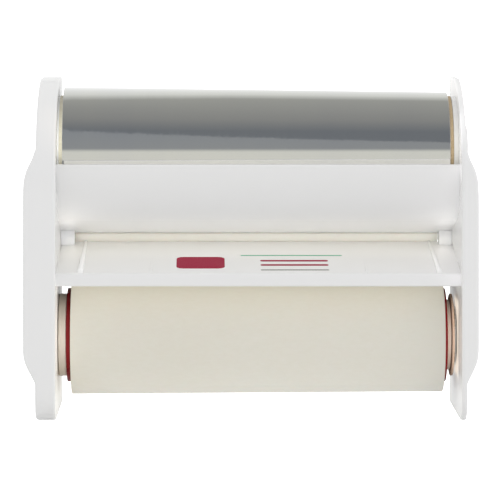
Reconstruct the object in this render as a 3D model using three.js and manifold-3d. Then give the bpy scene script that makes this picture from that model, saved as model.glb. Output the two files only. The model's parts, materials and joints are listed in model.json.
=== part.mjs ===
// Refill cartridge for a hand-cranked adhesive applicator: a film roll above a liner roll,
// both turning between two moulded side plates, with a feed tray and a curved film guard
// that lead a sheet of paper into the slot between the two webs.
// Millimetres, +Z up, +X along the rolls, +Y to the back. The drawing axes run through the
// middle of the slot; the finished group is moved so that the centre of its footprint is the origin.
import * as THREE from "three";
import { mergeVertices } from "three/addons/utils/BufferGeometryUtils.js";
import Module from "manifold-3d";

const wasm = await Module();
wasm.setup();

// ---- driving dimensions ----------------------------------------------------
const WEB_WIDTH = 127; // 5 inch web
const WALL_IN = 68; // inner face of each side plate
const FRONT = -32; // front edge of the side plates
const BACK = 24.5; // back edge of the side plates
const TOP = 55.8;
const BOTTOM = -58.6;
const LEFT_SKIN = 1.8; // wall of the dished left plate
const LEFT_OUT = -74.8; // outer edge of its rim
const RIGHT_OUT = 69.9; // outer face of the flat right plate
const WING_LEFT = -78.9;
const WING_RIGHT = 73.75;
const WING_TOP = [31.7, 21.3]; // root and tip heights of the wing's upper slope
const WING_BOTTOM = [-44.8, -33.8];
const WING_THICK = 2.6;

const FILM_Z = 31.8; // axis of the film roll
const LINER_Z = -32.2; // axis of the liner roll
const FILM_R = [21.1, 19.35]; // each wound roll is slightly conical: left and right end
const LINER_R = [20.5, 19.4];
const FILM_ENDS = [-66.2, 65.1];
const LINER_ENDS = [-WEB_WIDTH / 2, WEB_WIDTH / 2];
const FILM_CORE = [11.0, 13.0];
const LINER_CORE = [13.0, 15.0];
const PIN_R = 5.0; // hollow stub pins moulded on the side plates
const PIN_HOLE_R = 3.2;
const PIN_TIP = 60.0;
const BORE_R = 5.2;
const GAP = 0.08; // between pieces that rest on each other
const RUN = 0.35; // between pieces that move past each other

const SHELF_FRONT = [-28.0, -8.8]; // feed tray, top face
const SHELF_BACK = [18.0, -1.6];
const SHELF_T = 1.6;
const LIP_BOTTOM = -12.95;
const GUARD_R = 25.35; // film guard, outer face, about the film axis
const GUARD_T = 1.4;
const GUARD_TOP_Y = -25.0;
const SLOT_TOP = 1.3;
// Raised paper guides on the tray: their sides at the front and at the back, where they are narrower.
const GUIDE_LEFT = [[-60.8, -58.95], [-60.0, -59.1]];
const GUIDE_RIGHT = [[60.05, 61.75], [59.85, 60.75]];

const FLANGE_R = 16.0;
const LEADER_END = 36.0;

// ---- colours ---------------------------------------------------------------
const look = (color, roughness, metalness = 0) => new THREE.MeshStandardMaterial({ color, roughness, metalness });
const WHITE = look(0xf1f1ef, 0.38);
const OFF_WHITE = look(0xe6dfcf, 0.45);
const FILM = look(0xa9abaa, 0.16, 0.85);
const PAPER = look(0xe4e1d3, 0.6);
const CARD = look(0xb79a72, 0.85);
const CREAM = look(0xe2ddc6, 0.7);
const RED = look(0xa80f14, 0.35);
const FELT = look(0x8f8579, 0.95);
const STEEL = look(0xb9bcc0, 0.3, 0.9);

// ---- helpers ---------------------------------------------------------------
function bare(geometry) {
  const g = geometry.clone();
  for (const name of Object.keys(g.attributes)) if (name !== "position") g.deleteAttribute(name);
  g.clearGroups();
  const m = mergeVertices(g, 1e-4);
  const src = m.index.array;
  const p = m.attributes.position;
  const keep = [];
  let volume = 0;
  const a = new THREE.Vector3(), b = new THREE.Vector3(), c = new THREE.Vector3();
  for (let i = 0; i < src.length; i += 3) {
    const [i0, i1, i2] = [src[i], src[i + 1], src[i + 2]];
    if (i0 === i1 || i1 === i2 || i0 === i2) continue;
    a.fromBufferAttribute(p, i0); b.fromBufferAttribute(p, i1); c.fromBufferAttribute(p, i2);
    volume += a.dot(b.cross(c));
    keep.push([i0, i1, i2]);
  }
  m.setIndex(keep.flatMap(([i0, i1, i2]) => (volume < 0 ? [i0, i2, i1] : [i0, i1, i2])));
  return m;
}
function solid(geometry) {
  const g = bare(geometry);
  return new wasm.Manifold(new wasm.Mesh({
    numProp: 3,
    vertProperties: new Float32Array(g.attributes.position.array),
    triVerts: new Uint32Array(g.index.array),
  }));
}
function geometryOf(body) {
  const mesh = body.getMesh();
  const g = new THREE.BufferGeometry();
  g.setAttribute("position", new THREE.BufferAttribute(new Float32Array(mesh.vertProperties), 3));
  g.setIndex([...mesh.triVerts]);
  return g;
}
// A (y, z) outline extruded along X.
const OUTLINE_TO_WORLD = new THREE.Matrix4().set(0, 0, 1, 0, 1, 0, 0, 0, 0, 1, 0, 0, 0, 0, 0, 1);
function slab(shape, x0, x1, curveSegments = 8) {
  const g = new THREE.ExtrudeGeometry(shape, { depth: x1 - x0, bevelEnabled: false, curveSegments });
  g.translate(0, 0, x0);
  g.applyMatrix4(OUTLINE_TO_WORLD);
  return solid(g);
}
function outline(points) {
  return new THREE.Shape(points.map(([y, z]) => new THREE.Vector2(y, z)));
}
// A profile of (x, r) points turned about the X axis at height z.
const LATHE_TO_WORLD = new THREE.Matrix4().set(0, 1, 0, 0, 0, 0, 1, 0, 1, 0, 0, 0, 0, 0, 0, 1);
function turned(points, z, segments = 48) {
  const g = new THREE.LatheGeometry(points.map(([x, r]) => new THREE.Vector2(r, x)), segments);
  g.applyMatrix4(LATHE_TO_WORLD);
  g.translate(0, 0, z);
  return solid(g);
}
function ring(x0, x1, r0, r1, z, segments = 48) {
  return turned([[x0, r0], [x1, r0], [x1, r1], [x0, r1], [x0, r0]], z, segments);
}
function disc(x0, x1, r, z, segments = 32) {
  return turned([[x0, 0], [x0, r], [x1, r], [x1, 0]], z, segments);
}
function block(x0, x1, y0, y1, z0, z1) {
  const g = new THREE.BoxGeometry(x1 - x0, y1 - y0, z1 - z0);
  g.translate((x0 + x1) / 2, (y0 + y1) / 2, (z0 + z1) / 2);
  return solid(g);
}

// ---- the assembly ----------------------------------------------------------
const cartridge = new THREE.Group();
cartridge.name = "refill_cartridge";
const middle = new THREE.Group(); // drawing axes, moved onto the footprint at the end
cartridge.add(middle);
function piece(name, body, material) {
  const mesh = new THREE.Mesh(body.isBufferGeometry ? body : geometryOf(body), material);
  mesh.name = name;
  middle.add(mesh);
  return mesh;
}

// Side plate outline: flat back, flat foot, a long sweep at the front top and a short one below.
function plateOutline(inset = 0) {
  const s = new THREE.Shape();
  const b = BACK - inset, t = TOP - inset, d = BOTTOM + inset, f = FRONT + inset;
  s.moveTo(b, d + 1.2);
  s.lineTo(b, t - 1.2);
  s.quadraticCurveTo(b, t, b - 1.2, t);
  s.lineTo(6.5, t);
  s.bezierCurveTo(-1.5, t - 0.4, -11 + inset * 0.3, 51.6 - inset, -17.5 + inset * 0.6, 47.0 - inset * 0.8);
  s.bezierCurveTo(-24.5 + inset * 0.7, 41.6 - inset * 0.7, f, 33.5 - inset * 0.4, f, 22.5);
  s.lineTo(f, -46.5);
  s.bezierCurveTo(f, -54.2 + inset * 0.5, -29.2 + inset * 0.7, -58.3 + inset * 0.9, -20.5, d);
  s.lineTo(b - 1.2, d);
  s.quadraticCurveTo(b, d, b, d + 1.2);
  return s;
}

// Tongues of the tray and guard pass through these windows in both plates.
const TRAY_TONGUES = [[-21, -11], [3, 13]];
const TRAY_SLOPE = (SHELF_BACK[1] - SHELF_FRONT[1]) / (SHELF_BACK[0] - SHELF_FRONT[0]);
const shelfZ = (y) => SHELF_FRONT[1] + (y - SHELF_FRONT[0]) * TRAY_SLOPE;
const GUARD_TONGUES = [25, 62]; // angles below the front horizontal, about the film axis
function tongueOutline([y0, y1], grow) {
  const g = grow, low = -SHELF_T;
  return outline([
    [y0 - g, shelfZ(y0 - g) + low - g], [y1 + g, shelfZ(y1 + g) + low - g],
    [y1 + g, shelfZ(y1 + g) + g], [y0 - g, shelfZ(y0 - g) + g],
  ]);
}
function guardPoint(angle, r) {
  const a = THREE.MathUtils.degToRad(angle);
  return [-Math.cos(a) * r, FILM_Z - Math.sin(a) * r];
}
function guardTongue(angle, grow) {
  const half = 8 + THREE.MathUtils.radToDeg(grow / GUARD_R);
  const r0 = GUARD_R - GUARD_T - grow, r1 = GUARD_R + grow;
  const pts = [];
  for (const a of [-1, 0, 1]) pts.push(guardPoint(angle + a * half, r0));
  for (const a of [1, 0, -1]) pts.push(guardPoint(angle + a * half, r1));
  return outline(pts);
}
function windows(x0, x1) {
  return TRAY_TONGUES.map((t) => slab(tongueOutline(t, 0.25), x0, x1))
    .concat(GUARD_TONGUES.map((a) => slab(guardTongue(a, 0.25), x0, x1)));
}

// A hollow stub pin, open to the outside of its plate.
function pinShell(side, z, outer) {
  const x = (v) => side * v;
  return turned([[x(outer), 0], [x(outer), PIN_R], [x(PIN_TIP + 0.8), PIN_R], [x(PIN_TIP), PIN_R - 0.8], [x(PIN_TIP), 0]], z, 32);
}
function pinHole(side, z, outer) {
  const x = (v) => side * v;
  return turned([[x(outer + 1), 0], [x(outer + 1), PIN_HOLE_R], [x(PIN_TIP + 1.6), PIN_HOLE_R], [x(PIN_TIP + 1.6), 0]], z, 24);
}
function wing(root, tip) {
  const s = new THREE.Shape([
    new THREE.Vector2(root, WING_TOP[0]), new THREE.Vector2(tip, WING_TOP[1]),
    new THREE.Vector2(tip, WING_BOTTOM[1]), new THREE.Vector2(root, WING_BOTTOM[0]),
  ]);
  const g = new THREE.ExtrudeGeometry(s, { depth: WING_THICK, bevelEnabled: false });
  g.rotateX(Math.PI / 2); // outline (x, z), thickness towards -Y
  g.translate(0, FRONT + WING_THICK, 0);
  return solid(g);
}
function gusset(x0, x1, z) {
  // small triangle behind a wing: full width at the wing, nothing 9 mm further back
  const s = new THREE.Shape([
    new THREE.Vector2(x0, FRONT + WING_THICK - 0.2), new THREE.Vector2(x1, FRONT + WING_THICK - 0.2),
    new THREE.Vector2(x0, FRONT + WING_THICK + 9),
  ]);
  const g = new THREE.ExtrudeGeometry(s, { depth: 1.4, bevelEnabled: false });
  g.translate(0, 0, z - 0.7);
  return solid(g);
}

// Left plate: a dish 6.8 mm deep, open to the outside, with ribs between the two pin bosses and the rim.
{
  let p = slab(plateOutline(), LEFT_OUT, -WALL_IN, 7);
  p = p.subtract(slab(plateOutline(LEFT_SKIN), LEFT_OUT - 1, -WALL_IN - LEFT_SKIN, 7));
  p = p.add(wing(LEFT_OUT + 1.0, WING_LEFT));
  for (const z of [18, -6, -30]) p = p.add(gusset(LEFT_OUT + 0.2, WING_LEFT + 0.5, z));
  const rib = -73.6;
  p = p.add(block(rib, -WALL_IN - 0.5, -1, 1, BOTTOM + 1, TOP - 1));
  p = p.add(block(rib, -WALL_IN - 0.5, FRONT + 1, BACK - 1, -13.4, -12.0));
  p = p.add(block(rib, -WALL_IN - 0.5, -26, BACK - 1, 11.6, 13.0));
  for (const z of [FILM_Z, LINER_Z]) {
    p = p.add(disc(rib, -WALL_IN - 0.5, 8.0, z, 32));
    p = p.add(pinShell(-1, z, 73.0));
  }
  for (const z of [FILM_Z, LINER_Z]) p = p.subtract(pinHole(-1, z, 73.6));
  for (const w of windows(LEFT_OUT - 1, -WALL_IN + 1)) p = p.subtract(w);
  piece("left_side_plate", p, WHITE);
}
// Right plate: flat, with a short boss around each pin on the outside and a seat for the film brake inside.
{
  let p = slab(plateOutline(), WALL_IN, RIGHT_OUT, 7);
  p = p.add(wing(RIGHT_OUT - 1.0, WING_RIGHT));
  for (const z of [18, -6, -30]) p = p.add(gusset(RIGHT_OUT - 0.2, WING_RIGHT - 0.5, z));
  for (const z of [FILM_Z, LINER_Z]) {
    p = p.add(disc(WALL_IN + 0.5, 72.0, 8.0, z, 32));
    p = p.add(pinShell(1, z, 71.5));
  }
  p = p.add(disc(66.4, WALL_IN + 0.5, 8.6, FILM_Z, 32));
  for (const z of [FILM_Z, LINER_Z]) p = p.subtract(pinHole(1, z, 72.0));
  for (const w of windows(WALL_IN - 1, RIGHT_OUT + 1)) p = p.subtract(w);
  piece("right_side_plate", p, WHITE);
}

// Feed tray: a sloping shelf with a turned-down lip, two raised paper guides and gussets underneath.
{
  const w = WALL_IN - GAP;
  const [yf, zf] = SHELF_FRONT, [yb, zb] = SHELF_BACK;
  const t = SHELF_T;
  let p = slab(outline([
    [yb, zb], [yf + 1.1, shelfZ(yf + 1.1)], [yf + 0.35, zf - 0.2], [yf, zf - 0.9],
    [yf - 0.3, LIP_BOTTOM + 0.5], [yf + 0.1, LIP_BOTTOM], [yf + t - 0.3, LIP_BOTTOM], [yf + t, LIP_BOTTOM + 0.5],
    [yf + t + 0.2, zf - t - 0.3], [yf + t + 1.0, shelfZ(yf + t + 1.0) - t], [yb, zb - t],
  ]), -w, w);
  for (const [front, back] of [GUIDE_LEFT, GUIDE_RIGHT]) {
    const [y0, y1] = [yf + 1.4, 17.6];
    const corners = [];
    for (const x of front) corners.push([x, y0, shelfZ(y0) - 0.5], [x, y0, shelfZ(y0) + 1.0]);
    for (const x of back) corners.push([x, y1, shelfZ(y1) - 0.5], [x, y1, shelfZ(y1) + 0.35]);
    p = p.add(wasm.Manifold.hull(corners));
  }
  for (const x of [-60, -36, 0, 36, 60]) {
    p = p.add(slab(outline([[yf + t - 0.4, LIP_BOTTOM + 0.8], [yf + t + 9, shelfZ(yf + t + 9) - t + 0.3], [yf + t - 0.4, zf - t + 0.3]]), x - 0.6, x + 0.6));
  }
  for (const tongue of TRAY_TONGUES) {
    p = p.add(slab(tongueOutline(tongue, 0), w - 0.5, RIGHT_OUT - 0.1));
    p = p.add(slab(tongueOutline(tongue, 0), -WALL_IN - LEFT_SKIN + 0.1, -w + 0.5));
  }
  piece("feed_tray", p, WHITE);
}

// Film guard: a curved sheet around the front and underside of the film roll, running out flat to the slot.
const RAMP_END = [SHELF_BACK[0], SLOT_TOP];
const RAMP_ANGLE = (() => {
  const dy = RAMP_END[0], dz = RAMP_END[1] - FILM_Z;
  const dist = Math.hypot(dy, dz);
  const toPoint = THREE.MathUtils.radToDeg(Math.atan2(-dz, -dy)); // angle below the front horizontal
  return toPoint - THREE.MathUtils.radToDeg(Math.acos(GUARD_R / dist));
})();
{
  const w = WALL_IN - GAP;
  const a0 = THREE.MathUtils.radToDeg(Math.acos(-GUARD_TOP_Y / GUARD_R));
  const steps = 16;
  const outer = [], inner = [];
  for (let i = 0; i <= steps; i++) {
    const a = a0 + ((RAMP_ANGLE - a0) * i) / steps;
    outer.push(guardPoint(a, GUARD_R));
    inner.push(guardPoint(a, GUARD_R - GUARD_T));
  }
  const n = [Math.cos(THREE.MathUtils.degToRad(RAMP_ANGLE)) * GUARD_T, Math.sin(THREE.MathUtils.degToRad(RAMP_ANGLE)) * GUARD_T];
  const pts = [...outer, RAMP_END, [RAMP_END[0] + n[0] * 0, RAMP_END[1] + n[1] + 0.2], ...inner.reverse()];
  let p = slab(outline(pts), -w, w);
  for (const a of GUARD_TONGUES) {
    p = p.add(slab(guardTongue(a, 0), w - 0.5, RIGHT_OUT - 0.1));
    p = p.add(slab(guardTongue(a, 0), -WALL_IN - LEFT_SKIN + 0.1, -w + 0.5));
  }
  piece("film_guard", p, WHITE);
}

// Edge blocks close the ends of the slot and set its height.
for (const [name, x0, x1] of [["edge_block_left", -WALL_IN + GAP, -63.2], ["edge_block_right", 63.5, WALL_IN - GAP]]) {
  const y0 = 12.5, y1 = 17.9, y2 = 20.7; // they reach back behind the slot
  const rampZ = (y) => RAMP_END[1] + ((RAMP_END[0] - y) * Math.cos(THREE.MathUtils.degToRad(RAMP_ANGLE))) / Math.sin(THREE.MathUtils.degToRad(RAMP_ANGLE));
  piece(name, slab(outline([
    [y0, shelfZ(y0) + GAP], [y2, shelfZ(y2) + GAP], [y2, rampZ(y1) - GAP], [y1, rampZ(y1) - GAP], [y0, rampZ(y0) - GAP],
  ]), x0, x1), WHITE);
}

// A roll wound on a straight core, with its outer radius running from r1[0] to r1[1].
function winding(x0, x1, r0, r1, z) {
  return turned([[x0, r0], [x1, r0], [x1, r1[1]], [x0, r1[0]], [x0, r0]], z, 64);
}

// ---- film roll -------------------------------------------------------------
{
  const [x0, x1] = FILM_ENDS;
  piece("film_winding", winding(x0, x1, FILM_CORE[1] + GAP, FILM_R, FILM_Z), FILM);
  piece("film_core", ring(x0 - 0.0, x1 + 0.0, FILM_CORE[0], FILM_CORE[1], FILM_Z, 40), CARD);
  piece("film_washer_left", ring(-67.38, x0 - GAP, FILM_CORE[0] + GAP, 18.2, FILM_Z, 48), CREAM);
  piece("film_washer_right", ring(x1 + GAP, x1 + 1.25, FILM_CORE[0] + GAP, 18.05, FILM_Z, 48), CARD);
  const hubR = FILM_CORE[0] - GAP;
  // left hub: a plug with a chamfered nose and a thin collar against the plate
  piece("film_hub_left", turned([
    [-67.88, BORE_R], [-67.88, 18.0], [-67.46, 18.0], [-67.46, hubR], [-55.0, hubR], [-54.0, hubR - 1], [-54.0, BORE_R], [-67.88, BORE_R],
  ], FILM_Z, 40), WHITE);
  // right hub: a plug with a collar, counterbored for the brake
  piece("film_hub_right", turned([
    [63.2, BORE_R], [63.2, 9.4], [67.88, 9.4], [67.88, 18.0], [66.43, 18.0], [66.43, hubR], [54.0, hubR], [53.0, hubR - 1], [53.0, BORE_R], [63.2, BORE_R],
  ], FILM_Z, 40), WHITE);
  piece("film_brake_felt", ring(63.35, 64.85, BORE_R, 8.9, FILM_Z, 36), FELT);
}
// ---- liner roll ------------------------------------------------------------
{
  const [x0, x1] = LINER_ENDS;
  piece("liner_winding", winding(x0, x1, LINER_CORE[1] + GAP, LINER_R, LINER_Z), PAPER);
  piece("liner_core", ring(x0, x1, LINER_CORE[0], LINER_CORE[1], LINER_Z, 40), CARD);
  const hubR = LINER_CORE[0] - GAP;
  piece("liner_hub_left", turned([
    [-67.88, BORE_R], [-67.88, 14.1], [-65.18, 14.1], [-65.18, hubR], [-53.0, hubR], [-52.0, hubR - 1], [-52.0, BORE_R], [-67.88, BORE_R],
  ], LINER_Z, 40), OFF_WHITE);
  piece("liner_hub_right", turned([
    [66.0, BORE_R], [66.0, 12.0], [64.6, 12.0], [64.6, hubR], [53.0, hubR], [52.0, hubR - 1], [52.0, BORE_R], [66.0, BORE_R],
  ], LINER_Z, 40), OFF_WHITE);
  // thin red flanges, each pierced for its hub; the left one has a small notch in its rim
  const flange = (xa, xb, notch) => {
    const s = new THREE.Shape();
    const a0 = THREE.MathUtils.degToRad(180 + 42.6);
    const half = notch ? 0.05 : 0;
    if (notch) {
      s.absarc(0, LINER_Z, FLANGE_R, a0 + half, a0 - half + Math.PI * 2, false);
      s.lineTo(Math.cos(a0) * (FLANGE_R - 1.3), LINER_Z + Math.sin(a0) * (FLANGE_R - 1.3));
    } else s.absarc(0, LINER_Z, FLANGE_R, 0, Math.PI * 2, false);
    const h = new THREE.Path();
    h.absarc(0, LINER_Z, LINER_CORE[0] + 0.0, 0, Math.PI * 2, true);
    s.holes.push(h);
    return slab(s, xa, xb, 24);
  };
  piece("red_flange_left", flange(x0 - 1.6, x0 - GAP, true), RED);
  piece("red_flange_right", flange(x1 + GAP, x1 + 1.0, false), RED);
  piece("liner_brake_washer", ring(66.15, 66.95, BORE_R, 14.0, LINER_Z, 40), FELT);
}
// Wave springs: thin rings bent in three waves, loading each brake.
function waveSpring(name, xMid, amplitude, thick, r0, r1, z) {
  const n = 36;
  const pos = [], idx = [];
  for (let i = 0; i < n; i++) {
    const a = (i / n) * Math.PI * 2;
    const x = xMid + amplitude * Math.cos(3 * a);
    for (const [dx, r] of [[-thick / 2, r0], [thick / 2, r0], [thick / 2, r1], [-thick / 2, r1]]) {
      pos.push(x + dx, Math.cos(a) * r, z + Math.sin(a) * r);
    }
  }
  for (let i = 0; i < n; i++) {
    const j = (i + 1) % n;
    for (let k = 0; k < 4; k++) {
      const l = (k + 1) % 4;
      const [a, b, c, d] = [i * 4 + k, i * 4 + l, j * 4 + l, j * 4 + k];
      idx.push(a, b, c, a, c, d);
    }
  }
  const g = new THREE.BufferGeometry();
  g.setAttribute("position", new THREE.BufferAttribute(new Float32Array(pos), 3));
  g.setIndex(idx);
  piece(name, bare(g), STEEL);
}
waveSpring("film_brake_spring", 65.62, 0.45, 0.35, BORE_R + 0.2, 8.4, FILM_Z);
waveSpring("liner_brake_spring", 67.48, 0.22, 0.35, BORE_R + 0.4, 10.0, LINER_Z);

// ---- webs ------------------------------------------------------------------
// Each web leaves the back of its roll, runs to the slot and turns back to join the other around a pull tab.
function web(name, rollZ, rollR, sign, x0, x1, material) {
  const t = 0.3, y = rollR + 0.4; // inner face of the hanging run
  const bend = 2.2, flat = 0.22;
  const inner = [], outer = [];
  outer.push([y, rollZ]);
  inner.push([y + t, rollZ]);
  for (let i = 0; i <= 6; i++) {
    const a = (i / 6) * (Math.PI / 2);
    // centre of the bend lies behind and towards the roll
    const cy = y + t + bend, cz = sign * (flat + t + bend);
    outer.push([cy - Math.cos(a) * (bend + t), cz - sign * Math.sin(a) * (bend + t)]);
    inner.push([cy - Math.cos(a) * bend, cz - sign * Math.sin(a) * bend]);
  }
  outer.push([31, sign * flat]);
  inner.push([31, sign * (flat + t)]);
  const pts = [...outer, ...inner.reverse()];
  piece(name, slab(outline(sign > 0 ? pts : pts.reverse()), x0, x1), material);
}
web("film_web", FILM_Z, Math.max(...FILM_R), 1, FILM_ENDS[0] + 0.3, FILM_ENDS[1] - 0.3, FILM);
web("liner_web", LINER_Z, Math.max(...LINER_R), -1, LINER_ENDS[0], LINER_ENDS[1], PAPER);
{
  const s = new THREE.Shape([[-58, 25.5], [58, 25.5], [58, 33], [52, LEADER_END], [-52, LEADER_END], [-58, 33]].map(([x, y]) => new THREE.Vector2(x, y)));
  const g = new THREE.ExtrudeGeometry(s, { depth: 0.3, bevelEnabled: false });
  g.translate(0, 0, -0.15);
  piece("pull_tab", solid(g), CREAM);
}

// The origin is the centre of the footprint, on the plane the side plates stand on.
middle.position.set(-(WING_LEFT + WING_RIGHT) / 2, -(FRONT - 0.0 + LEADER_END) / 2, -BOTTOM);

export default cartridge;
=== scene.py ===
import json
import math
import random

import bmesh
import bpy
from mathutils import Matrix, Vector
from mathutils.geometry import tessellate_polygon

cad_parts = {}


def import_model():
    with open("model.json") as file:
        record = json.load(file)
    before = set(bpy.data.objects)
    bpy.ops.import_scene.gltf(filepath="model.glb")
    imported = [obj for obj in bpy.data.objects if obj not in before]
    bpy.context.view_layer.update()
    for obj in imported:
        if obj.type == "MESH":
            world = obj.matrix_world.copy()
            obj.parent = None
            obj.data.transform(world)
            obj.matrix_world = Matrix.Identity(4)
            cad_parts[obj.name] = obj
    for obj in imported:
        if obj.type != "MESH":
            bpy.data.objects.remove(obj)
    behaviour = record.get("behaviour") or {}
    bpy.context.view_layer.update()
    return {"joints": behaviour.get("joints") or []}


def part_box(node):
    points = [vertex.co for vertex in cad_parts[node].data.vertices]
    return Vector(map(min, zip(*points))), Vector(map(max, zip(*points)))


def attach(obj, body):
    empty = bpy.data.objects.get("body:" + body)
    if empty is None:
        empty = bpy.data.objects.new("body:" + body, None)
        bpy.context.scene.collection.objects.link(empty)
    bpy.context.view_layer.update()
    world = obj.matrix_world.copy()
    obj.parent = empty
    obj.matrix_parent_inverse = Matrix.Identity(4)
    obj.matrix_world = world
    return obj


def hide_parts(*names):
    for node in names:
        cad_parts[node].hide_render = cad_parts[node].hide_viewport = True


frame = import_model()
scene = bpy.context.scene

# ---------------------------------------------------------------------------
# Drawing axes: X = 0 midway between the side plates, Y = 0 at the roll axes,
# Z = 0 in the middle of the slot. Everything below is drawn in millimetres.
# ---------------------------------------------------------------------------
AXIS = {j["name"]: Vector(j["pos_m"]) for j in frame["joints"]}
_lo, _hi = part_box("liner_winding")
MM = 0.001
FILM_Z, LINER_Z = 31.8, -32.2
OX = (_lo.x + _hi.x) / 2
OY = AXIS["liner_roll_spin"].y
OZ = AXIS["liner_roll_spin"].z - LINER_Z * MM
SLICES = 160


def world(p):
    return (OX + p[0] * MM, OY + p[1] * MM, OZ + p[2] * MM)


# ---------------------------------------------------------------------------
# Mesh tools
# ---------------------------------------------------------------------------
def make(name, verts, faces):
    mesh = bpy.data.meshes.new(name)
    mesh.from_pydata([world(v) for v in verts], [], faces)
    bm = bmesh.new()
    bm.from_mesh(mesh)
    bmesh.ops.remove_doubles(bm, verts=bm.verts, dist=2e-7)
    bmesh.ops.recalc_face_normals(bm, faces=bm.faces)
    bm.to_mesh(mesh)
    bm.free()
    ob = bpy.data.objects.new(name, mesh)
    scene.collection.objects.link(ob)
    return ob


def bezier(p0, p1, p2, p3, n):
    out = []
    for i in range(n):
        t = i / n
        s = 1 - t
        out.append(tuple(s**3 * a + 3 * s * s * t * b + 3 * s * t * t * c + t**3 * d for a, b, c, d in zip(p0, p1, p2, p3)))
    return out


def fillet(points, radii, n=5):
    """A closed polygon with its corners rounded."""
    count = len(points)
    if not isinstance(radii, (list, tuple)):
        radii = [radii] * count
    out = []
    for i in range(count):
        a, b, c = Vector(points[i - 1]), Vector(points[i]), Vector(points[(i + 1) % count])
        e1, e2 = a - b, c - b
        l1, l2 = e1.length, e2.length
        e1.normalize()
        e2.normalize()
        ang = math.acos(max(-1, min(1, e1.dot(e2))))
        if radii[i] <= 0 or abs(ang - math.pi) < 0.02:
            out.append((b.x, b.y))
            continue
        t = min(radii[i] / math.tan(ang / 2), 0.48 * l1, 0.48 * l2)
        r = t * math.tan(ang / 2)
        centre = b + (e1 + e2).normalized() * (r / math.sin(ang / 2))
        p1, p2 = b + e1 * t, b + e2 * t
        a1 = math.atan2(p1.y - centre.y, p1.x - centre.x)
        a2 = math.atan2(p2.y - centre.y, p2.x - centre.x)
        d = (a2 - a1 + math.pi) % (2 * math.pi) - math.pi
        for k in range(n + 1):
            q = a1 + d * k / n
            out.append((centre.x + r * math.cos(q), centre.y + r * math.sin(q)))
    return out


def area(points):
    return sum(a[0] * b[1] - b[0] * a[1] for a, b in zip(points, points[1:] + points[:1])) / 2


def ccw(points):
    return list(points) if area(list(points)) > 0 else list(points)[::-1]


def inset(points, d):
    """Moves every point of a closed loop to its left by d."""
    if abs(d) < 1e-9:
        return list(points)
    out, n = [], len(points)
    for i in range(n):
        a, b, c = Vector(points[i - 1]), Vector(points[i]), Vector(points[(i + 1) % n])
        e1, e2 = (b - a).normalized(), (c - b).normalized()
        n1, n2 = Vector((-e1.y, e1.x)), Vector((-e2.y, e2.x))
        m = n1 + n2
        m = n1 if m.length < 1e-6 else m.normalized()
        k = d / max(0.4, m.dot(n1))
        out.append((b.x + m.x * k, b.y + m.y * k))
    return out


def wall(w0, w1, r0, r1=None, n=3):
    """Stations (place, inset) of a straight wall from w0 to w1 with its two edges rounded."""
    r1 = r0 if r1 is None else r1
    s = 1 if w1 > w0 else -1
    out = []
    for i in range(n + 1):
        a = math.pi / 2 * i / n
        out.append((w0 + s * r0 * (1 - math.cos(a)), r0 * (1 - math.sin(a))))
    for i in range(n + 1):
        a = math.pi / 2 * (n - i) / n
        out.append((w1 - s * r1 * (1 - math.cos(a)), r1 * (1 - math.sin(a))))
    return out


def loft(name, loops, place):
    """loops: [(points, stations)], the outline counter-clockwise and holes clockwise. Both ends are capped."""
    verts, faces, first, last = [], [], [], []
    for points, stations in loops:
        rings = []
        for w, d in stations:
            start = len(verts)
            ring = inset(points, d)
            verts += [place(u, v, w) for u, v in ring]
            rings.append(list(range(start, start + len(ring))))
        for r0, r1 in zip(rings, rings[1:]):
            n = len(r0)
            faces += [(r0[i], r0[(i + 1) % n], r1[(i + 1) % n], r1[i]) for i in range(n)]
        first.append(rings[0])
        last.append(rings[-1])
    for caps in (first, last):
        order = [i for r in caps for i in r]
        for tri in tessellate_polygon([[Vector(verts[i]) for i in r] for r in caps]):
            if len(set(tri)) == 3:
                faces.append(tuple(order[k] for k in tri))
    return make(name, verts, faces)


def along_x(y, z, x):
    return (x, y, z)


def along_y(x, z, y):
    return (x, y, z)


def along_z(x, y, z):
    return (x, y, z)


def slab(name, outline, w0, w1, r, place=along_x, holes=(), n=3):
    loops = [(ccw(outline), wall(w0, w1, r, n=n))]
    loops += [(ccw(h)[::-1], wall(w0, w1, min(r, 0.2), n=2)) for h in holes]
    return loft(name, loops, place)


def lathe(name, profile, z, slices=SLICES, y=0.0):
    """A closed (x, r) profile turned about the X axis at height z."""
    verts, faces, n = [], [], len(profile)
    for k in range(slices):
        a = 2 * math.pi * k / slices
        verts += [(x, y + r * math.cos(a), z + r * math.sin(a)) for x, r in profile]
    for k in range(slices):
        j = (k + 1) % slices
        faces += [(k * n + i, k * n + (i + 1) % n, j * n + (i + 1) % n, j * n + i) for i in range(n)]
    return make(name, verts, faces)


def ring(name, x0, x1, r0, r1, z, edge=0.15, slices=SLICES):
    return lathe(name, fillet([(x0, r0), (x1, r0), (x1, r1), (x0, r1)], edge, 4), z, slices)


def combine(base, others, operation="UNION"):
    for o in others:
        m = base.modifiers.new("join", "BOOLEAN")
        m.operation = operation
        m.object = o
        m.solver = "MANIFOLD"
    dg = bpy.context.evaluated_depsgraph_get()
    mesh = bpy.data.meshes.new_from_object(base.evaluated_get(dg), depsgraph=dg)
    base.modifiers.clear()
    old = base.data
    base.data = mesh
    mesh.name = base.name
    bpy.data.meshes.remove(old)
    for o in others:
        m = o.data
        bpy.data.objects.remove(o)
        bpy.data.meshes.remove(m)
    return base


def tidy(ob):
    """Merges slivers left by joins and reports open edges."""
    bm = bmesh.new()
    bm.from_mesh(ob.data)
    bmesh.ops.remove_doubles(bm, verts=bm.verts, dist=1.2e-6)
    bmesh.ops.dissolve_degenerate(bm, edges=bm.edges, dist=1e-7)
    open_edges = sum(1 for e in bm.edges if len(e.link_faces) != 2)
    bm.to_mesh(ob.data)
    bm.free()
    print(f"piece {ob.name}: {len(ob.data.polygons)} faces, {open_edges} open edges")


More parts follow.
